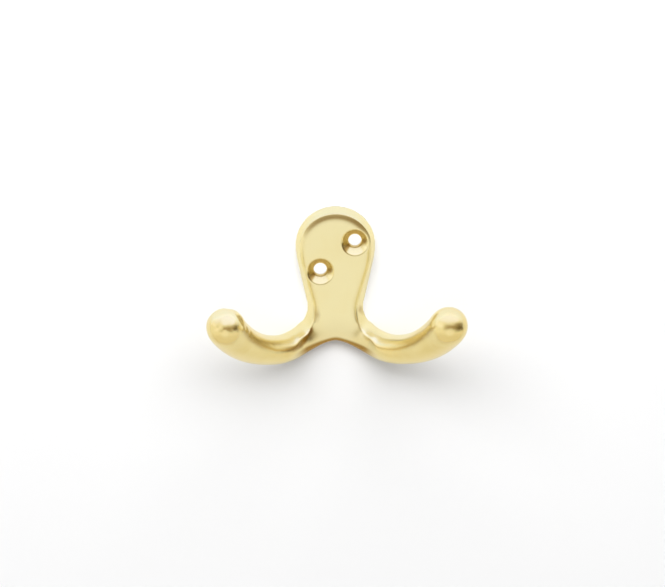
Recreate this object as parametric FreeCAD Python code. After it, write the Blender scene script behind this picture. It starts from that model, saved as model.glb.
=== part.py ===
import FreeCAD, Part
import math
import os

# Plate, in millimetres. The origin is the centre of its round head, on the wall.
PLATE_THICKNESS = 3.8
HEAD_RADIUS = 11.8
SIDE_RADIUS = 26.0
HEAD_BEVEL = 1.2
HEAD_BEVEL_DROP = 0.5
WAIST_HALF_WIDTH = 8.4
WAIST_BELOW_HEAD = 7.5
WAIST_Z = -HEAD_RADIUS - WAIST_BELOW_HEAD
WAIST_BEVEL = 2.4
FLARE_RADIUS = 7.5

# Screw holes, with the (x, z) of their axes.
SCREW_HOLE_DIAMETER = 3.8
COUNTERSINK_DIAMETER = 8.0
COUNTERSINK_ANGLE = 90.0
LOWER_HOLE = (-4.5, -7.2)
UPPER_HOLE = (5.7, 1.7)

# Sections that fan out around the flare's centre below the waist: angle, width of the ledge on top,
# and how far the ridge stands out from the plate's face.
FAN = ((0.0, WAIST_BEVEL, 0.0), (20.0, 2.5, 0.1), (40.0, 2.7, 0.9))

# Lower edge of the face at those sections, as (x, drop below the waist). It comes from past the middle
# and crosses it nearly level, so that the two sides meet in an inverted V with a rounded top.
LOWER_EDGE = ((-9.0, 0.0), (-3.5, 8.5), (2.6, 10.4))

# Right arm's shoulder, then the middle of the arm up to its ball end. These points are
# (x from the flare's centre, out from the wall, z from the flare's centre).
SHOULDER_TOP = (-3.6, 1.8, -6.0)
SHOULDER_RIDGE = (-5.5, 7.2, -7.9)
SHOULDER_FRONT = (-7.5, 4.4, -13.3)
SHOULDER_BACK = (-6.3, -0.5, -12.7)
ARM_ROOT = (-1.3, 6.3, -10.8)
ARM_BELLY = (4.4, 11.6, -9.6)
ARM_RISE = (10.3, 18.0, -5.5)
ARM_TIP = (15.9, 27.5, 3.4)
ROOT_RADIUS = 4.3
TIP_RADIUS = 5.7
RIDGE_LIFT = 14.0
ARM_STATIONS = 5

# Sections between which the straight-sided form swells to a round one, counted from the waist.
SWELL_FIRST = 1.0
SWELL_LAST = 5.5

# How far the front is hollowed behind the ridge, section by section from the waist.
HOLLOW = (0.0, 0.1, 0.4, 0.4, 0.2)

# Working allowances: what is trimmed off behind the wall, the size of a cutter, and a joint's tolerance.
BEHIND_WALL = 0.5
CUTTER = 200.0
JOIN = 0.002


def at(x, out, z):
    """Point x to the right of the middle, out from the wall and z above the head's centre."""
    return FreeCAD.Vector(x, -out, z)


def flare_centre():
    return WAIST_HALF_WIDTH + FLARE_RADIUS, WAIST_Z


def from_flare(point):
    cx, cz = flare_centre()
    x, out, z = point
    return at(cx + x, out, cz + z)


def on_circle(centre, radius, angle):
    return centre[0] + radius * math.cos(angle), centre[1] + radius * math.sin(angle)


def mix(a, b, t):
    return a + (b - a) * t


def smooth(t):
    """Ease from 0 to 1, level at both ends."""
    t = min(max(t, 0.0), 1.0)
    return t * t * (3 - 2 * t)


def line(a, b):
    return Part.LineSegment(a, b).toShape()


def arc(a, b, c):
    return Part.Arc(a, b, c).toShape()


def half_outline(head_inset, head_drop, waist_inset):
    """Right half of the plate's outline: round head, flatter side, straight taper and flare."""
    head_centre = (0.0, -head_drop)
    side_centre = (HEAD_RADIUS - SIDE_RADIUS, -head_drop)
    centre = flare_centre()
    head = HEAD_RADIUS - head_inset
    side = SIDE_RADIUS - head_inset
    flare = FLARE_RADIUS + waist_inset
    dx = centre[0] - side_centre[0]
    dz = side_centre[1] - centre[1]
    taper = math.atan2(dz, dx) - math.acos((side + flare) / math.hypot(dx, dz))
    return [
        [on_circle(head_centre, head, math.radians(a)) for a in (90, 45, 0)],
        [on_circle(side_centre, side, -a) for a in (0, taper / 2, taper)],
        [on_circle(side_centre, side, -taper), on_circle(centre, flare, math.pi - taper)],
        [on_circle(centre, flare, math.pi - a) for a in (taper, taper / 2, 0)],
    ]


def plate_outline(out, head_inset, head_drop, waist_inset):
    """Closed outline of the plate from its head to its waist, at one distance from the wall."""
    right = []
    left = []
    for span in half_outline(head_inset, head_drop, waist_inset):
        make = arc if len(span) == 3 else line
        right.append(make(*[at(x, out, z) for x, z in span]))
        left.append(make(*[at(-x, out, z) for x, z in reversed(span)]))
        x, z = span[-1]
    waist = line(at(x, out, z), at(-x, out, z))
    return Part.Wire(right + [waist] + left[::-1])


def plate():
    """Upper plate with its sloping edge: narrow round the head and wider towards the waist."""
    back = plate_outline(0.0, 0.0, 0.0, 0.0)
    face = plate_outline(PLATE_THICKNESS, HEAD_BEVEL, HEAD_BEVEL_DROP, WAIST_BEVEL)
    return Part.makeLoft([back, face], True, True)


def fan_corners(fan, lower_edge):
    """Top, ridge, lower front and lower back corners of a section across the flare."""
    degrees, ledge, rise = fan
    x, drop = lower_edge
    angle = math.pi + math.radians(degrees)
    overhang = BEHIND_WALL * WAIST_BEVEL / PLATE_THICKNESS
    top_x, top_z = on_circle(flare_centre(), FLARE_RADIUS - overhang, angle)
    ridge_x, ridge_z = on_circle(flare_centre(), FLARE_RADIUS + ledge, angle)
    return [
        at(top_x, -BEHIND_WALL, top_z),
        at(ridge_x, PLATE_THICKNESS + rise, ridge_z),
        at(x, PLATE_THICKNESS, WAIST_Z - drop),
        at(x, -BEHIND_WALL, WAIST_Z - drop),
    ]


def arm_corners(centre, along, radius):
    """The same four corners on a round section square to the arm, with the ridge towards the front."""
    lift = math.radians(RIDGE_LIFT)
    toward = at(0.0, math.cos(lift), math.sin(lift))
    front = (toward - along * toward.dot(along)).normalize()
    up = front.cross(along)
    return [centre + up * radius, centre + front * radius, centre - up * radius, centre - front * radius]


def arm_spine():
    spine = Part.BSplineCurve()
    spine.interpolate([from_flare(p) for p in (ARM_ROOT, ARM_BELLY, ARM_RISE, ARM_TIP)])
    return spine


def all_corners():
    """Corners of every section, from the waist through the shoulder to the end of the arm."""
    corners = [fan_corners(fan, edge) for fan, edge in zip(FAN, LOWER_EDGE)]
    shoulder = (SHOULDER_TOP, SHOULDER_RIDGE, SHOULDER_FRONT, SHOULDER_BACK)
    corners.append([from_flare(p) for p in shoulder])
    spine = arm_spine()
    for n in range(ARM_STATIONS):
        t = n / (ARM_STATIONS - 1)
        u = mix(spine.FirstParameter, spine.LastParameter, t)
        radius = mix(ROOT_RADIUS, TIP_RADIUS, smooth(t))
        corners.append(arm_corners(spine.value(u), spine.tangent(u)[0], radius))
    return corners


def section(corners, swell, hollow):
    """Four curves that close a section, each straight from corner to corner or swelling to an ellipse.

    The second one, from the ridge down the front, is set back behind the ridge by the hollow.
    """
    rounding = 4 / 3 * (math.sqrt(2) - 1)
    middle = (corners[0] + corners[1] + corners[2] + corners[3]) / 4
    curves = []
    for a, b in zip(corners, corners[1:] + corners[:1]):
        near_a = mix(mix(a, b, 1 / 3), a + (b - middle) * rounding, swell)
        near_b = mix(mix(b, a, 1 / 3), b + (a - middle) * rounding, swell)
        curves.append([a, near_a, near_b, b])
    curves[1][1] = curves[1][1] + at(0.0, -hollow, 0.0)
    return curves


def rail(points, places, along):
    """Smooth curve through matching points: it leaves the waist straight down and ends along the arm."""
    down = FreeCAD.Vector(0, 0, -1)
    start = down * ((points[1] - points[0]).Length / (places[1] - places[0]))
    end = along * ((points[-1] - points[-2]).Length / (places[-1] - places[-2]))
    curve = Part.BSplineCurve()
    curve.interpolate(Points=points, Parameters=places, InitialTangent=start, FinalTangent=end, Scale=False)
    return curve


def skin(rails):
    """Face that carries the four rails of one curve of the sections."""
    poles = [r.getPoles() for r in rails]
    across = (0.0, 1.0)
    ends = (len(rails), len(rails))
    order = len(rails) - 1
    surface = Part.BSplineSurface()
    surface.buildFromPolesMultsKnots(
        poles, ends, rails[0].getMultiplicities(), across, rails[0].getKnots(),
        False, False, order, rails[0].Degree)
    return surface.toShape()


def cap(curves):
    edges = []
    for poles in curves:
        curve = Part.BezierCurve()
        curve.setPoles(poles)
        edges.append(curve.toShape())
    return Part.Face(Part.Wire(edges))


def arm_body():
    """Plate below the waist and the arm that flows out of it, as one skin through all the sections."""
    corners = all_corners()
    places = [0.0]
    for here, there in zip(corners, corners[1:]):
        step = sum((b - a).Length for a, b in zip(here, there)) / len(here)
        places.append(places[-1] + step)
    sections = []
    for n, four in enumerate(corners):
        swell = smooth((n - SWELL_FIRST) / (SWELL_LAST - SWELL_FIRST))
        hollow = HOLLOW[n] if n < len(HOLLOW) else 0.0
        sections.append(section(four, swell, hollow))
    along = arm_spine().tangent(arm_spine().LastParameter)[0]
    faces = [cap(sections[0]), cap(sections[-1])]
    for side in range(4):
        rails = []
        for pole in range(4):
            rails.append(rail([s[side][pole] for s in sections], places, along))
        faces.append(skin(rails))
    shell = Part.makeShell(faces)
    shell.sewShape()
    return Part.makeSolid(shell)


def ball_end():
    """Rounded end of the right arm: half a ball that sits on its last section."""
    spine = arm_spine()
    centre = spine.value(spine.LastParameter)
    along = spine.tangent(spine.LastParameter)[0]
    side = along.cross(FreeCAD.Vector(0, 0, 1)).normalize()
    pole = centre + along * TIP_RADIUS
    rim = centre + side * TIP_RADIUS
    between = centre + (along + side).normalize() * TIP_RADIUS
    profile = Part.Face(Part.Wire([line(centre, pole), arc(pole, between, rim), line(rim, centre)]))
    return profile.revolve(centre, along, 360)


def countersunk_hole(place):
    x, z = place
    radius = SCREW_HOLE_DIAMETER / 2
    mouth_radius = COUNTERSINK_DIAMETER / 2
    depth = (mouth_radius - radius) / math.tan(math.radians(COUNTERSINK_ANGLE / 2))
    forward = FreeCAD.Vector(0, -1, 0)
    drill = Part.makeCylinder(radius, CUTTER, at(x, -CUTTER / 2, z), forward)
    cone = Part.makeCone(radius, mouth_radius, depth, at(x, PLATE_THICKNESS - depth, z), forward)
    mouth = Part.makeCylinder(mouth_radius, CUTTER, at(x, PLATE_THICKNESS, z), forward)
    return drill.fuse([cone, mouth])


def hook():
    """Whole casting: plate, right arm and its mirror image, then the two screw holes."""
    right_half = Part.makeBox(CUTTER, CUTTER, CUTTER, FreeCAD.Vector(0, -CUTTER, -CUTTER / 2))
    right = arm_body().common(right_half).fuse([ball_end()], JOIN)
    left = right.mirror(FreeCAD.Vector(0, 0, 0), FreeCAD.Vector(1, 0, 0))
    body = plate().fuse([right, left], JOIN)
    body = body.cut([countersunk_hole(LOWER_HOLE), countersunk_hole(UPPER_HOLE)])
    return body.removeSplitter().Solids[0]


os.makedirs("parts", exist_ok=True)
hook().exportStep("parts/double_robe_hook.step")
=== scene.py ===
# %% [markdown]
# # A cast brass robe hook
#
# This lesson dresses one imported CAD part, a wall hook with two arms, and lights it for a product picture.
# The casting's shape is already right, so Blender's work is its finish, its soft edges and its light.

# %% Load the frame
import bpy
import bmesh
import math
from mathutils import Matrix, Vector, noise


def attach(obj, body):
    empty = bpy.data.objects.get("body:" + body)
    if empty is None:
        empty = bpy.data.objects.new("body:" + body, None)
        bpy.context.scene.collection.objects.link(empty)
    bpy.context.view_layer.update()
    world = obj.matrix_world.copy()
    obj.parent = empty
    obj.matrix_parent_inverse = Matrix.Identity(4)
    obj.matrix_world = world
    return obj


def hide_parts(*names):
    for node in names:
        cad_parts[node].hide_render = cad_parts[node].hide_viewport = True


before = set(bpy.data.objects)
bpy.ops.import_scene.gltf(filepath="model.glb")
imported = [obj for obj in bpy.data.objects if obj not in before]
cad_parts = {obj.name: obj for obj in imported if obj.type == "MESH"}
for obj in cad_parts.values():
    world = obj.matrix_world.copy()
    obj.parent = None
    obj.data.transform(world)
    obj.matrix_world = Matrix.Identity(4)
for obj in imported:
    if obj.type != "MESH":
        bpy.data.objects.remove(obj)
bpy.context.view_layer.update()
cad_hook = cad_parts["double_robe_hook"]
MM = 0.001
scene = bpy.context.scene
scene.view_settings.view_transform = "Standard"

# %% [markdown]
# ## The casting, with buffed edges
#
# The real hook is poured in one piece, ground on a belt and buffed, so no edge on it is knife sharp.
# Bevelling thousands of CAD triangles would be fragile. A voxel remesh rebuilds the solid as a fine, even
# net that keeps flat faces flat, and a few rounds of smoothing then wear down only what is sharp.
# The copy is merged first, because the CAD mesh comes as loose triangles.

# %% Copy, merge and buff the casting
WELD = 0.001 * MM
VOXEL = 0.26 * MM
BUFFING_ROUNDS = 6


def merged_copy(source, name):
    mesh = source.data.copy()
    net = bmesh.new()
    net.from_mesh(mesh)
    bmesh.ops.remove_doubles(net, verts=net.verts, dist=WELD)
    net.to_mesh(mesh)
    net.free()
    mesh.materials.clear()
    piece = bpy.data.objects.new(name, mesh)
    scene.collection.objects.link(piece)
    return piece


def apply_modifiers(piece):
    evaluated = piece.evaluated_get(bpy.context.evaluated_depsgraph_get())
    mesh = bpy.data.meshes.new_from_object(evaluated)
    piece.modifiers.clear()
    piece.data = mesh


hook = merged_copy(cad_hook, "buffed_casting")
remesh = hook.modifiers.new("even net", "REMESH")
remesh.mode = "VOXEL"
remesh.voxel_size = VOXEL
buffing = hook.modifiers.new("buffing", "SMOOTH")
buffing.factor = 0.5
buffing.iterations = BUFFING_ROUNDS
apply_modifiers(hook)
print("casting:", len(hook.data.vertices), "points,", len(hook.data.polygons), "faces")

# %% [markdown]
# ## Rounded on the wheel
#
# A polishing wheel rounds the arms and the plate's sides far more than the face, the back or the holes.
# A sculpt brush could do that, but a lesson has to repeat exactly. So each point gets a weight from its
# place, and one strong Smooth modifier follows those weights. Every range below is a pair of lengths:
# where the wheel does nothing, and where it works in full.

# %% Weigh where the wheel works
SCREW_HOLES = [(-4.5 * MM, 0.0, -7.2 * MM), (5.7 * MM, 0.0, 1.7 * MM)]
OFF_HOLE = (4.2 * MM, 5.2 * MM)
OFF_BACK = (0.5 * MM, 1.5 * MM)
SIDES_FROM_TOP = (6 * MM, 1 * MM)
SIDES_FROM_FOOT = (-24 * MM, -17 * MM)
OUT_ALONG_ARM = (8 * MM, 14 * MM)
VEE_TOP = -28.0 * MM
VEE_ROUND = 0.5 * MM
VEE_SLOPE = 0.33
VEE_SOFTNESS = 0.45
OVER_VEE = (5 * MM, 2 * MM)
BESIDE_VEE = (12 * MM, 8 * MM)


def ease(value, none, full):
    t = min(max((value - none) / (full - none), 0.0), 1.0)
    return t * t * (3 - 2 * t)


def over_vee(point):
    """Height of a place over the notch under the plate, which is an upside-down V with a round top."""
    return point.z - VEE_TOP + math.hypot(VEE_SLOPE * point.x, VEE_ROUND)


def softness(point):
    """How much the wheel rounds a place: the arms and the plate's sides, but no hole and no back."""
    off_hole = min(math.hypot(point.x - x, point.z - z) for x, y, z in SCREW_HOLES)
    clear = ease(off_hole, *OFF_HOLE) * ease(-point.y, *OFF_BACK)
    sides = ease(point.z, *SIDES_FROM_TOP) * ease(point.z, *SIDES_FROM_FOOT)
    arms = ease(-point.y, *OUT_ALONG_ARM)
    vee = VEE_SOFTNESS * ease(over_vee(point), *OVER_VEE) * ease(abs(point.x), *BESIDE_VEE)
    return clear * max(sides, arms, vee)


weights = [softness(point.co) for point in hook.data.vertices]
print("wheel: works by more than half on", sum(weight > 0.5 for weight in weights), "points")

# %% Smooth by those weights
WHEEL_ROUNDS = 240

group = hook.vertex_groups.new(name="softness")
for index, weight in enumerate(weights):
    group.add([index], weight, "REPLACE")
wheel = hook.modifiers.new("wheel", "SMOOTH")
wheel.factor = 0.5
wheel.iterations = WHEEL_ROUNDS
wheel.vertex_group = group.name
apply_modifiers(hook)
print("wheel:", WHEEL_ROUNDS, "rounds on", len(hook.data.vertices), "points")

# %% [markdown]
# ## A worn top edge and filed tips
#
# Two small forms come from hand work. The belt rolls off the face at the top of the head, so the face falls
# back there and catches the light as a crescent. The tips are finished with a file, which leaves shallow,
# uneven facets. Both could be bump in the material, but an edge and a highlight need real slopes, so the
# points are moved. The facets follow a fixed noise, so each run gives the same ones.

# %% Wear the top edge
FACE_Y = -3.8 * MM
FACE_CENTRE_Z = -0.5 * MM
FACE_RADIUS = 10.6 * MM
WEAR_WIDTH = 2.5 * MM
WEAR_DEPTH = 0.43 * MM
WEAR_END = -6.0 * MM


def wear_top_edge(mesh):
    moved = 0
    for point in mesh.vertices:
        if point.co.y > FACE_Y + 2 * WEAR_DEPTH or point.co.z < WEAR_END:
            continue
        inside = FACE_RADIUS - math.hypot(point.co.x, point.co.z - FACE_CENTRE_Z)
        fading = min((point.co.z - WEAR_END) / (-WEAR_END), 1.0)
        worn = WEAR_DEPTH * fading * max(1 - inside / WEAR_WIDTH, 0.0) ** 2
        moved += worn > 0
        point.co.y = max(point.co.y, FACE_Y + worn)
    return moved


print("top edge:", wear_top_edge(hook.data), "points worn back")

# %% File the tips
FILE_FACET = 2.3 * MM
FILE_DEPTH = 0.21 * MM
FILED_TIP = (21 * MM, 26 * MM)
FILED_SIDE = (-0.05, 0.3)
RIGHT_TIP_FILING = 0.2


def file_tips(mesh):
    """Shallow facets on the upper side of both tips, coarser on the left one."""
    moved = 0
    normals = [point.normal.copy() for point in mesh.vertices]
    for point, normal in zip(mesh.vertices, normals):
        on_tip = ease(-point.co.y, *FILED_TIP) * ease(normal.z, *FILED_SIDE)
        amount = on_tip * (1.0 if point.co.x < 0 else RIGHT_TIP_FILING)
        if amount:
            point.co += normal * FILE_DEPTH * amount * noise.noise(point.co / FILE_FACET)
            moved += 1
    mesh.update()
    return moved


print("tips:", file_tips(hook.data), "points filed")

# %% [markdown]
# ## Painted light and shade on the casting
#
# The picture shows paler metal on top of the arms and brown tones in corners: where an arm leaves the plate,
# along the notch, under the crescent and in the countersinks. These tones are painted light: the paler one is
# a painted reflection of the bright wall, and the brown ones are painted shade and painted reflections of the
# room's dark parts, placed point by point. One picture can't tell them apart, so these tones are a guess,
# placed by hand. Painting a picture over the mesh would need a file. A number on each point, an attribute,
# stays in the mesh: above 0 is paler and below 0 is darker.

# %% Lines of painted shade along the dark corners
# Painted shade: the corners where an arm leaves the plate are darkened in the colour.
# Each line runs through points of x, y, z in mm and how dark it is there.
CREASES = [[(-7.6, -4.4, -25.4, 0.9), (-8.7, -5.3, -26.7, 0.9), (-9.3, -6.1, -28.0, 0.9),
            (-10.5, -7.4, -29.0, 0.8), (-12.5, -9.9, -29.1, 0.6), (-17.0, -13.6, -27.4, 0.0)],
           [(6.6, -3.0, -18.6, 0.0), (7.6, -1.8, -19.8, 0.5), (8.6, -0.8, -20.9, 0.3)],
           [(-6.4, -3.4, -17.8, 0.0), (-5.7, -3.8, -20.8, 0.35), (-5.8, -3.8, -22.2, 0.15)]]
CREASE_REACH = 1.6 * MM
CREASE_CORE = 0.2 * CREASE_REACH
CREASE_LOW, CREASE_HIGH = Vector((-19, 0, -32)) * MM, Vector((11, 0, -16)) * MM
NOT_FACING_UP = (0.6, 0.4)


def painted_shade_in_crease(point, normal):
    """How much painted shade darkens the corners where an arm leaves the plate."""
    if not (CREASE_LOW.z < point.z < CREASE_HIGH.z and CREASE_LOW.x < point.x < CREASE_HIGH.x):
        return 0.0
    most = 0.0
    for crease in CREASES:
        for a, b in zip(crease, crease[1:]):
            start, along = Vector(a[:3]) * MM, (Vector(b[:3]) - Vector(a[:3])) * MM
            share = min(max((point - start).dot(along) / along.length_squared, 0.0), 1.0)
            off = (point - start - along * share).length
            amount = a[3] + (b[3] - a[3]) * share
            most = max(most, amount * ease(off, CREASE_REACH, CREASE_CORE))
    return most * ease(normal.z, *NOT_FACING_UP)


print("dark corners:", [len(crease) for crease in CREASES], "points in their lines")

# %% Painted shade and painted reflection in a countersink
COUNTERSINK_RADIUS = 4.0 * MM
COUNTERSINK_FLOOR = -0.5 * MM
UPPER_CONE, UPPER_DARK = (1.5 * MM, 3.5 * MM), 0.2
STREAK_TURN, STREAK_WIDTH, STREAK_DARK = 217, (20, 6), 0.7
BORE_RADIUS, BORE_BELOW, BORE_DARK = (2.1 * MM, 1.95 * MM), (0.3 * MM, -0.8 * MM), 0.45


def painted_shade_in_countersink(point):
    """Painted shade and painted reflection: darker at the top of the cone, in a streak at its lower left, and
    on the lower wall of the bore.
    """
    for x, y, z in SCREW_HOLES:
        across, up = point.x - x, point.z - z
        radius = math.hypot(across, up)
        if radius < COUNTERSINK_RADIUS and point.y < COUNTERSINK_FLOOR:
            turn = math.degrees(math.atan2(up, across)) % 360
            painted_streak = STREAK_DARK * ease(abs(turn - STREAK_TURN), *STREAK_WIDTH)
            bore = BORE_DARK * ease(radius, *BORE_RADIUS) * ease(up, *BORE_BELOW)
            return max(UPPER_DARK * ease(up, *UPPER_CONE), painted_streak, bore)
    return 0.0


print("countersinks:", len(SCREW_HOLES), "of", round(2 * COUNTERSINK_RADIUS / MM, 1), "mm")

# %% Painted shade on the notch's rim and along the line under the crescent
BESIDE_NOTCH = (13 * MM, 8 * MM)
RIM_GLOOM, RIM_GLOOM_DARK = (9 * MM, 0.0), 0.13
RIM_EDGE, RIM_EDGE_DARK = (1.2 * MM, 0.1 * MM), 0.85
LINE_RADIUS = FACE_RADIUS - 0.5 * MM
LINE_WIDTH, LINE_UP, LINE_OUT, LINE_DARK = (1.0 * MM, 0.2 * MM), (3 * MM, 7 * MM), (2.5 * MM, 3.2 * MM), 0.35


# Painted shade: the notch's rim mirrors the shadowed wall below it, so its colour is darkened here.
def painted_shade_on_rim(point):
    above = over_vee(point)
    edge = max(RIM_GLOOM_DARK * ease(above, *RIM_GLOOM), RIM_EDGE_DARK * ease(above, *RIM_EDGE))
    return edge * ease(abs(point.x), *BESIDE_NOTCH)


# Painted reflection: the line under the crescent mirrors a dark part of the room, so its colour is darkened
# here.
def painted_dark_line(point):
    off_line = abs(math.hypot(point.x, point.z - FACE_CENTRE_Z) - LINE_RADIUS)
    return LINE_DARK * ease(off_line, *LINE_WIDTH) * ease(point.z, *LINE_UP) * ease(-point.y, *LINE_OUT)


print("line under the crescent: radius", round(LINE_RADIUS / MM, 1), "mm")

# %% Write one number of painted light and shade on each point
# Painted sheen: how much paler the tops of the arms are drawn, where they mirror the bright wall.
FACING_UP = (0.3, 0.8)
OFF_FACE, BELOW_PLATE = (3 * MM, 5 * MM), (16 * MM, 19 * MM)
NEAR_PLATE, RIGHT_ARM = (20 * MM, 14 * MM), (2 * MM, 6 * MM)
PALE, PALER_RIGHT_LEDGE, DEEPER_RIGHT_TIP = 0.55, 0.65, 0.25


def painted_sheen_on_top(point, normal):
    """Painted sheen on the upper side of both arms, a painted reflection of the bright wall: more so on the
    right arm's ledge and less on its tip.
    """
    on_right = PALER_RIGHT_LEDGE * ease(-point.y, *NEAR_PLATE) - DEEPER_RIGHT_TIP
    amount = PALE + ease(point.x, *RIGHT_ARM) * on_right
    off_plate = max(ease(-point.y, *OFF_FACE), ease(-point.z, *BELOW_PLATE))
    return amount * ease(normal.z, *FACING_UP) * off_plate


def painted_light_and_shade(point, normal):
    dark = max(painted_shade_on_rim(point), painted_dark_line(point), painted_shade_in_crease(point, normal), painted_shade_in_countersink(point))
    return painted_sheen_on_top(point, normal) - dark


finish = [painted_light_and_shade(point.co, point.normal) for point in hook.data.vertices]
hook.data.attributes.new("painted_light_and_shade", "FLOAT", "POINT").data.foreach_set("value", finish)
print("polish: from", round(min(finish), 2), "to", round(max(finish), 2))

# %% [markdown]
# ## One piece on one body
#
# The real hook is one casting without joints, so the dressed mesh rides on the root body and stands for
# the whole CAD node. Smooth shading hides the net's small faces.

# %% Hand the casting to the frame
for face in hook.data.polygons:
    face.use_smooth = True
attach(hook, "root")
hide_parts("double_robe_hook")
print("piece:", hook.name, "with", len(hook.data.polygons), "faces")

# %% [markdown]
# ## Satin brass
#
# Brass is copper and zinc. A fresh brushed face is pale gold, and its reflections are blurred but not milky.
# The arms look a deeper gold than the plate because they lie in less light. That is painted shade, a deeper
# copy of the same brass. Marks of the work show close up: faint belt lines down the plate, gentle hollows
# where the arms were ground by hand, file marks on the tips, and rings that the countersink tool cut round
# each hole, in metal that is shinier there. An image of all that would need unwrapping. Patterns on Object
# coordinates need none, and stay in the metal from any side.

# %% Helpers for colours and nodes
def linear(hex_colour):
    channels = [int(hex_colour[n:n + 2], 16) / 255 for n in (1, 3, 5)]
    return [c / 12.92 if c <= 0.04045 else ((c + 0.055) / 1.055) ** 2.4 for c in channels] + [1.0]


def add(tree, kind, inputs=None, **settings):
    """Add a node: settings are its properties, inputs are values or the sockets to link."""
    node = tree.nodes.new("ShaderNode" + kind)
    for name, value in settings.items():
        setattr(node, name, value)
    for key, value in (inputs or {}).items():
        if isinstance(value, bpy.types.NodeSocket):
            tree.links.new(value, node.inputs[key])
        else:
            node.inputs[key].default_value = value
    return node


print("a mid grey, #808080, is", round(linear("#808080")[0], 3), "in linear light")

# %% Satin brass: pale gold on the plate, and a deeper gold painted on the arms as shade
BRASS = "#EDE0A8"
# Painted shade: the arms get this deeper copy of the same brass, and the random tone also moves towards it.
BRASS_DEEP_AND_SHADED = "#EAD48C"
ARM_START, ARM_FULL, ARM_SHADE = FACE_Y - 1 * MM, FACE_Y - 8 * MM, 0.7
TONE_PATCH = 9.0 * MM
TONE_LOW, TONE_HIGH = -0.1, 0.2

# Satin brass, cast and belt ground: a warm, pale gold with a soft edge to every reflection.
brass = bpy.data.materials.new("satin brass")
brass.use_nodes = True
tree = brass.node_tree
shader = tree.nodes["Principled BSDF"]
shader.inputs["Metallic"].default_value = 1.0
place = add(tree, "TexCoord").outputs["Object"]
out = add(tree, "SeparateXYZ", {0: place}).outputs["Y"]
on_arms = add(tree, "MapRange", {"Value": out, "From Min": ARM_START, "From Max": ARM_FULL},
              interpolation_type="SMOOTHSTEP").outputs[0]
tone = add(tree, "TexNoise", {"Vector": place, "Scale": 1 / TONE_PATCH, "Detail": 3.0}).outputs["Fac"]
arm_shade_and_tone = add(tree, "MapRange", {"Value": tone, "From Min": 0.3, "From Max": 0.7,
                                "To Min": TONE_LOW, "To Max": TONE_HIGH}).outputs[0]
arm_shade_and_tone = add(tree, "Math", {0: on_arms, 1: ARM_SHADE, 2: arm_shade_and_tone},
             operation="MULTIPLY_ADD", use_clamp=True).outputs[0]
colour = add(tree, "Mix", {0: arm_shade_and_tone, 6: linear(BRASS), 7: linear(BRASS_DEEP_AND_SHADED)}, data_type="RGBA").outputs[2]
print("satin brass:", BRASS, "to", BRASS_DEEP_AND_SHADED)

# %% Freshly cut metal in the countersinks
BRASS_CUT = "#F2E2A4"
CUT_ROUGHNESS = 0.2

distances = []
for hole in SCREW_HOLES:
    offset = add(tree, "VectorMath", {0: place, 1: hole}, operation="SUBTRACT")
    flat = add(tree, "VectorMath", {0: offset.outputs[0], 1: (1.0, 0.0, 1.0)}, operation="MULTIPLY")
    distances.append(add(tree, "VectorMath", {0: flat.outputs[0]}, operation="LENGTH").outputs["Value"])
from_hole = add(tree, "Math", {0: distances[0], 1: distances[1]}, operation="MINIMUM").outputs[0]
near_hole = add(tree, "Math", {0: from_hole, 1: COUNTERSINK_RADIUS}, operation="LESS_THAN").outputs[0]
off_back = add(tree, "Math", {0: out, 1: COUNTERSINK_FLOOR}, operation="LESS_THAN").outputs[0]
in_cone = add(tree, "Math", {0: near_hole, 1: off_back}, operation="MULTIPLY").outputs[0]
colour = add(tree, "Mix", {0: in_cone, 6: colour, 7: linear(BRASS_CUT)}, data_type="RGBA").outputs[2]
print("cut brass:", BRASS_CUT, "within", round(COUNTERSINK_RADIUS / MM, 1), "mm of a hole's axis")

# %% Painted sheen and painted shade from the attribute
# Painted sheen: a paler brass on top of the arms, standing in for the bright wall they mirror.
BRASS_PAINTED_SHEEN = "#F2E8BA"
# Painted shade: a brown multiplied in where corners, rims and holes are darkened.
PAINTED_SHADE_BROWN = "#A67F22"

painted_tone = add(tree, "Attribute", attribute_name="painted_light_and_shade").outputs["Fac"]
painted_sheen_amount = add(tree, "Math", {0: painted_tone, 1: 0.0}, operation="MAXIMUM").outputs[0]
painted_shade_amount = add(tree, "Math", {0: painted_tone, 1: -1.0}, operation="MULTIPLY", use_clamp=True).outputs[0]
colour = add(tree, "Mix", {0: painted_sheen_amount, 6: colour, 7: linear(BRASS_PAINTED_SHEEN)}, data_type="RGBA").outputs[2]
colour = add(tree, "Mix", {0: painted_shade_amount, 6: colour, 7: linear(PAINTED_SHADE_BROWN)},
             data_type="RGBA", blend_type="MULTIPLY").outputs[2]
tree.links.new(colour, shader.inputs["Base Color"])
print("tones:", BRASS_PAINTED_SHEEN, "where paler,", PAINTED_SHADE_BROWN, "multiplied in where darker")

# %% Belt lines and gloss
# Real belt lines are about 0.1 mm apart. These are coarser, so that they show in the picture.
BELT_LINE = 0.35 * MM
BELT_LINE_LENGTH = 20.0 * MM
BELT_LINE_DEPTH = 0.0004 * MM
SATIN_LOW, SATIN_HIGH = 0.24, 0.28

stretch = (1 / BELT_LINE, 1 / BELT_LINE, 1 / BELT_LINE_LENGTH)
lines_place = add(tree, "Mapping", {"Vector": place, "Scale": stretch}).outputs[0]
lines = add(tree, "TexNoise", {"Vector": lines_place, "Scale": 1.0, "Detail": 2.0}).outputs["Fac"]
rough = add(tree, "MapRange", {"Value": lines, "To Min": SATIN_LOW, "To Max": SATIN_HIGH}).outputs[0]
rough = add(tree, "Mix", {0: in_cone, 2: rough, 3: CUT_ROUGHNESS}).outputs[0]
tree.links.new(rough, shader.inputs["Roughness"])
print("gloss: roughness", SATIN_LOW, "to", SATIN_HIGH, "and", CUT_ROUGHNESS, "where cut")

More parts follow.
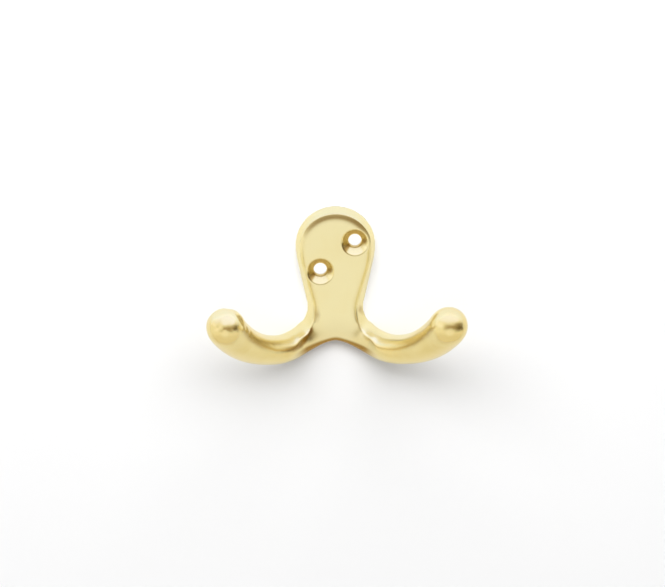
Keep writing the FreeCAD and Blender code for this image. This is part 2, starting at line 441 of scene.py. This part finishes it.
# %% Hand-ground hollows, file marks and tool rings
# The tool's real rings are finer too, and are drawn coarser for the same reason.
HAND_GROUND = 3.5 * MM
HAND_GROUND_DEPTH = 0.07 * MM
TIP_MARK = 1.5 * MM
TIP_MARK_DEPTH = 0.07 * MM
TIP_START, TIP_FULL = -20 * MM, -26 * MM
TOOL_RING = 0.45 * MM
TOOL_RING_DEPTH = 0.0012 * MM

ground = add(tree, "TexNoise", {"Vector": place, "Scale": 1 / HAND_GROUND, "Detail": 1.0}).outputs["Fac"]
ground = add(tree, "Math", {0: ground, 1: HAND_GROUND_DEPTH}, operation="MULTIPLY").outputs[0]
hollows = add(tree, "Math", {0: ground, 1: on_arms}, operation="MULTIPLY").outputs[0]
on_tips = add(tree, "MapRange", {"Value": out, "From Min": TIP_START, "From Max": TIP_FULL},
              interpolation_type="SMOOTHSTEP").outputs[0]
marks = add(tree, "TexNoise", {"Vector": place, "Scale": 1 / TIP_MARK, "Detail": 2.0}).outputs["Fac"]
marks = add(tree, "Math", {0: marks, 1: TIP_MARK_DEPTH}, operation="MULTIPLY").outputs[0]
hollows = add(tree, "Math", {0: marks, 1: on_tips, 2: hollows}, operation="MULTIPLY_ADD").outputs[0]
turns = add(tree, "Math", {0: from_hole, 1: 2 * math.pi / TOOL_RING}, operation="MULTIPLY").outputs[0]
rings = add(tree, "Math", {0: turns}, operation="SINE").outputs[0]
cut = add(tree, "Math", {0: rings, 1: in_cone}, operation="MULTIPLY").outputs[0]
relief = add(tree, "Math", {0: lines, 1: BELT_LINE_DEPTH, 2: hollows}, operation="MULTIPLY_ADD").outputs[0]
relief = add(tree, "Math", {0: cut, 1: TOOL_RING_DEPTH, 2: relief}, operation="MULTIPLY_ADD").outputs[0]
bump = add(tree, "Bump", {"Height": relief, "Distance": 1.0, "Strength": 1.0}).outputs[0]
tree.links.new(bump, shader.inputs["Normal"])
hook.data.materials.append(brass)
print("satin brass:", len(tree.nodes), "nodes")

# %% [markdown]
# ## A white wall that catches the shadow
#
# The hook lies flat against a white surface, which shows only as a soft shadow below the arms. The wall is
# a stage piece and no part of the object. A plane through the hook would hide its back, so the wall has
# a cut-out behind the plate, and its back is clear to the camera.

# %% Find the outline of the plate's back
def back_outline(source):
    """Longest loop of edges round the flat back of the casting, as points in order."""
    net = bmesh.new()
    net.from_mesh(source.data)
    bmesh.ops.remove_doubles(net, verts=net.verts, dist=WELD)
    backs = {f for f in net.faces if f.normal.y > 0.999 and abs(f.calc_center_median().y) < 10 * WELD}
    rim = [e for e in net.edges if sum(f in backs for f in e.link_faces) == 1]
    after = {}
    for edge in rim:
        for a, b in (edge.verts, reversed(edge.verts)):
            after.setdefault(a, []).append(b)
    loops = []
    left = set(after)
    while left:
        point = left.pop()
        loop = [point]
        while True:
            nearby = [p for p in after[loop[-1]] if p in left]
            if not nearby:
                break
            left.discard(nearby[0])
            loop.append(nearby[0])
        loops.append([p.co.copy() for p in loop])
    net.free()
    return max(loops, key=len)


outline = back_outline(cad_hook)
print("outline:", len(outline), "points")

# %% Build the wall around the outline
WALL_HALF = 600 * MM
WALL_GAP = 0.05 * MM

net = bmesh.new()
corners = [(-1, -1), (1, -1), (1, 1), (-1, 1)]
rings_of_points = [[Vector((x * WALL_HALF, WALL_GAP, z * WALL_HALF)) for x, z in corners],
                   [Vector((p.x, WALL_GAP, p.z)) for p in outline]]
for ring in rings_of_points:
    points = [net.verts.new(p) for p in ring]
    for a, b in zip(points, points[1:] + points[:1]):
        net.edges.new((a, b))
bmesh.ops.triangle_fill(net, edges=net.edges, use_beauty=True)
for face in net.faces:
    face.normal_update()
    if face.normal.y > 0:
        face.normal_flip()
wall_mesh = bpy.data.meshes.new("white_wall")
net.to_mesh(wall_mesh)
net.free()
wall = bpy.data.objects.new("white_wall", wall_mesh)
scene.collection.objects.link(wall)
print("wall:", len(wall_mesh.polygons), "faces")

# %% [markdown]
# ## Matt white paint
#
# The camera sees plain white paint, lit by the lamps further down, so the shadow is a real one. In the metal
# the wall looks a little different: a painted highlight, a cool glow, brightens it above the head, where the
# crescent mirrors it, and it is creamier far below the arms, where the real surface seems to lie in less
# light.
# A second wall for the mirror image could do that. The light path tells a mirrored ray from a camera ray, so
# one wall can be both.

# %% Paint the wall
WALL_PAINT = "#F0F0F0"
LOW_WALL = "#E3DED0"
LOW_START, LOW_FULL = -120 * MM, -240 * MM
# Painted highlight: a cool glow that only mirrored rays see, above the head.
MIRRORED_GLOW = (0.0, 0.07, 0.38, 1.0)
GLOW_START, GLOW_FULL = 4 * MM, 14 * MM

# Matt white paint, rolled on: an even white without a highlight.
paint = bpy.data.materials.new("matt white paint")
paint.use_nodes = True
tree = paint.node_tree
tree.nodes.clear()
light_path = add(tree, "LightPath").outputs
mirrored = add(tree, "Math", {0: light_path["Is Glossy Ray"], 1: light_path["Is Transmission Ray"]},
               operation="MAXIMUM").outputs[0]
up_the_wall = add(tree, "SeparateXYZ", {0: add(tree, "TexCoord").outputs["Object"]}).outputs["Z"]
low = add(tree, "MapRange", {"Value": up_the_wall, "From Min": LOW_START, "From Max": LOW_FULL},
          interpolation_type="SMOOTHSTEP").outputs[0]
low = add(tree, "Math", {0: low, 1: mirrored}, operation="MULTIPLY").outputs[0]
tone = add(tree, "Mix", {0: low, 6: linear(WALL_PAINT), 7: linear(LOW_WALL)}, data_type="RGBA").outputs[2]
matt = add(tree, "BsdfDiffuse", {"Color": tone}).outputs[0]
over_head = add(tree, "MapRange", {"Value": up_the_wall, "From Min": GLOW_START, "From Max": GLOW_FULL},
                interpolation_type="SMOOTHSTEP").outputs[0]
cool = add(tree, "Math", {0: mirrored, 1: over_head}, operation="MULTIPLY").outputs[0]
glow = add(tree, "Emission", {"Color": MIRRORED_GLOW, "Strength": cool}).outputs[0]
front = add(tree, "AddShader", {0: matt, 1: glow}).outputs[0]
backing = add(tree, "NewGeometry").outputs["Backfacing"]
from_behind = add(tree, "Math", {0: backing, 1: light_path["Is Camera Ray"]}, operation="MULTIPLY").outputs[0]
clear = add(tree, "BsdfTransparent").outputs[0]
both = add(tree, "MixShader", {0: from_behind, 1: front, 2: clear}).outputs[0]
add(tree, "OutputMaterial", {"Surface": both})
wall_mesh.materials.append(paint)
print("matt white paint:", WALL_PAINT, "with", len(tree.nodes), "nodes")

# %% [markdown]
# ## The studio, seen in the metal
#
# Metal shows little of its own colour and much of the room. The picture hints at that room: a wide bright
# cover overhead, a window on the left, white paper in front, a warm shade ahead at eye level and a dark
# opening on the right. Real boxes and cards could stand there, but a world painted by direction gives the
# same with a few soft fields. Only mirrored rays see it. The camera sees plain white, and the wall gets
# its light from the lamps, because a world this bright would wash out the shadow.

# %% Helpers to paint by direction
world = bpy.data.worlds.new("studio")
scene.world = world
world.cycles_visibility.diffuse = False
world.use_nodes = True
tree = world.node_tree
direction = add(tree, "TexCoord").outputs["Generated"]
height = add(tree, "SeparateXYZ", {0: direction}).outputs["Z"]
level = add(tree, "VectorMath", {0: direction, 1: (1.0, 1.0, 0.0)}, operation="MULTIPLY").outputs[0]
heading = add(tree, "VectorMath", {0: level}, operation="NORMALIZE").outputs[0]


def within(*edges):
    """Where all soft edges hold: each is a value, where it gives 0 and where it gives 1."""
    amount = 1.0
    for value, none, full in edges:
        step = add(tree, "MapRange", {"Value": value, "From Min": none, "From Max": full},
                   interpolation_type="SMOOTHSTEP").outputs[0]
        amount = add(tree, "Math", {0: step, 1: amount}, operation="MULTIPLY").outputs[0]
    return amount


def part_of_room(azimuth, none, full, lower_edge, upper_edge):
    """Field round an azimuth, with its half widths in degrees, between a lower and an upper soft edge."""
    turn = math.radians(azimuth)
    middle = (math.sin(turn), -math.cos(turn), 0.0)
    ahead = add(tree, "VectorMath", {0: heading, 1: middle}, operation="DOT_PRODUCT").outputs["Value"]
    sides = (ahead, math.cos(math.radians(none)), math.cos(math.radians(full)))
    return within(sides, (height, *lower_edge), (height, *upper_edge))


print("studio: azimuth 0 is towards the camera, and more is to the right")

# %% Paint the studio as the world
PALE_ROOM = (1.04, 1.02, 0.99, 1.0)
COVER = (1.14, 1.20, 1.70, 1.0)
LOW_ROOM = (0.90, 0.84, 0.74, 1.0)
WINDOW = (1.18, 1.22, 1.45, 1.0)
SHADE = (0.36, 0.27, 0.13, 1.0)
OPENING = (0.12, 0.08, 0.02, 1.0)
PAPER = (1.06, 1.07, 1.14, 1.0)
PAPER_DIRECTION = (0.0, -0.945, -0.326)
WHITE = (1.0, 1.0, 1.0, 1.0)

to_paper = add(tree, "VectorMath", {0: direction, 1: PAPER_DIRECTION}, operation="DOT_PRODUCT")
layers = [(COVER, within((height, 0.45, 0.72))),
          (LOW_ROOM, within((height, -0.35, -0.65))),
          (WINDOW, part_of_room(-75, 40, 25, (0.0, 0.13), (0.50, 0.37))),
          (SHADE, part_of_room(25, 65, 35, (-0.20, 0.05), (0.52, 0.22))),
          (OPENING, part_of_room(80, 55, 20, (-0.34, -0.18), (0.42, -0.05))),
          (PAPER, within((to_paper.outputs["Value"], 0.90, 0.97))),
          (WHITE, add(tree, "LightPath").outputs["Is Camera Ray"])]
room = PALE_ROOM
for layer, amount in layers:
    room = add(tree, "Mix", {0: amount, 6: room, 7: layer}, data_type="RGBA").outputs[2]
tree.links.new(room, tree.nodes["Background"].inputs["Color"])
tree.nodes["Background"].inputs["Strength"].default_value = 1.0
print("studio:", len(tree.nodes), "nodes")

# %% [markdown]
# ## Three wide lamps for the wall
#
# The picture's shadow is dark close under the arms and soft further off. One lamp gives either the one or
# the other. A wide lamp in front and above draws the arms' shadow, a steep one overhead darkens the notch,
# and a large one straight ahead fills in. They don't show in the metal, where the painted studio is seen
# instead, and their sum lights the white paint to plain white.

# %% Hang the lamps
LAMP_AIM = Vector((0.0, 0.0, -0.02))
LAMPS = [("front_cover", Vector((-0.12, -0.90, 0.88)), 1.9, 0.6, 21.5),
         ("top_cover", Vector((-0.15, -0.45, 2.10)), 2.5, 0.8, 30.0),
         ("room_fill", Vector((0.0, -1.60, -0.30)), 4.0, 3.0, 26.0)]
for name, spot, width, depth, watts in LAMPS:
    lamp_data = bpy.data.lights.new(name, "AREA")
    lamp_data.shape = "RECTANGLE"
    lamp_data.size = width
    lamp_data.size_y = depth
    lamp_data.energy = watts
    lamp = bpy.data.objects.new(name, lamp_data)
    lamp.location = spot
    lamp.rotation_euler = (spot - LAMP_AIM).to_track_quat("Z", "Y").to_euler()
    lamp.visible_glossy = False
    scene.collection.objects.link(lamp)
    print(name, "at", round(spot.length, 2), "m,", watts, "W")

# %% [markdown]
# ## The camera
#
# The plate's outline and its two round holes fix the view: the camera looks down at the wall by 19 degrees
# from a little left of the middle. A long lens from 60 cm keeps the arms from growing towards the viewer.
# Lens shift could frame it too, but an aim point does it without, and turns cleanly to other views.

# %% Place the camera
IMAGE_WIDTH, IMAGE_HEIGHT = 665, 587
ELEVATION = math.radians(19.0)
AZIMUTH = math.radians(-1.0)
DISTANCE = 0.6
PIXELS_PER_METRE = 3390.0
HEAD_CENTRE_PIXEL = (335.4, 244.2)

away = Vector((math.sin(AZIMUTH) * math.cos(ELEVATION), -math.cos(AZIMUTH) * math.cos(ELEVATION),
               math.sin(ELEVATION)))
right = Vector((math.cos(AZIMUTH), math.sin(AZIMUTH), 0.0))
up = away.cross(right)
pixels_down = HEAD_CENTRE_PIXEL[1] - IMAGE_HEIGHT / 2
pixels_right = HEAD_CENTRE_PIXEL[0] - IMAGE_WIDTH / 2
aim = (up * pixels_down - right * pixels_right) / PIXELS_PER_METRE
camera_data = bpy.data.cameras.new("camera")
camera_data.sensor_fit = "HORIZONTAL"
camera_data.sensor_width = 36.0
camera_data.lens = PIXELS_PER_METRE * DISTANCE * camera_data.sensor_width / IMAGE_WIDTH
camera = bpy.data.objects.new("camera", camera_data)
camera.location = aim + away * DISTANCE
camera.rotation_euler = away.to_track_quat("Z", "Y").to_euler()
scene.collection.objects.link(camera)
scene.camera = camera
print("camera: lens", round(camera_data.lens, 1), "mm")
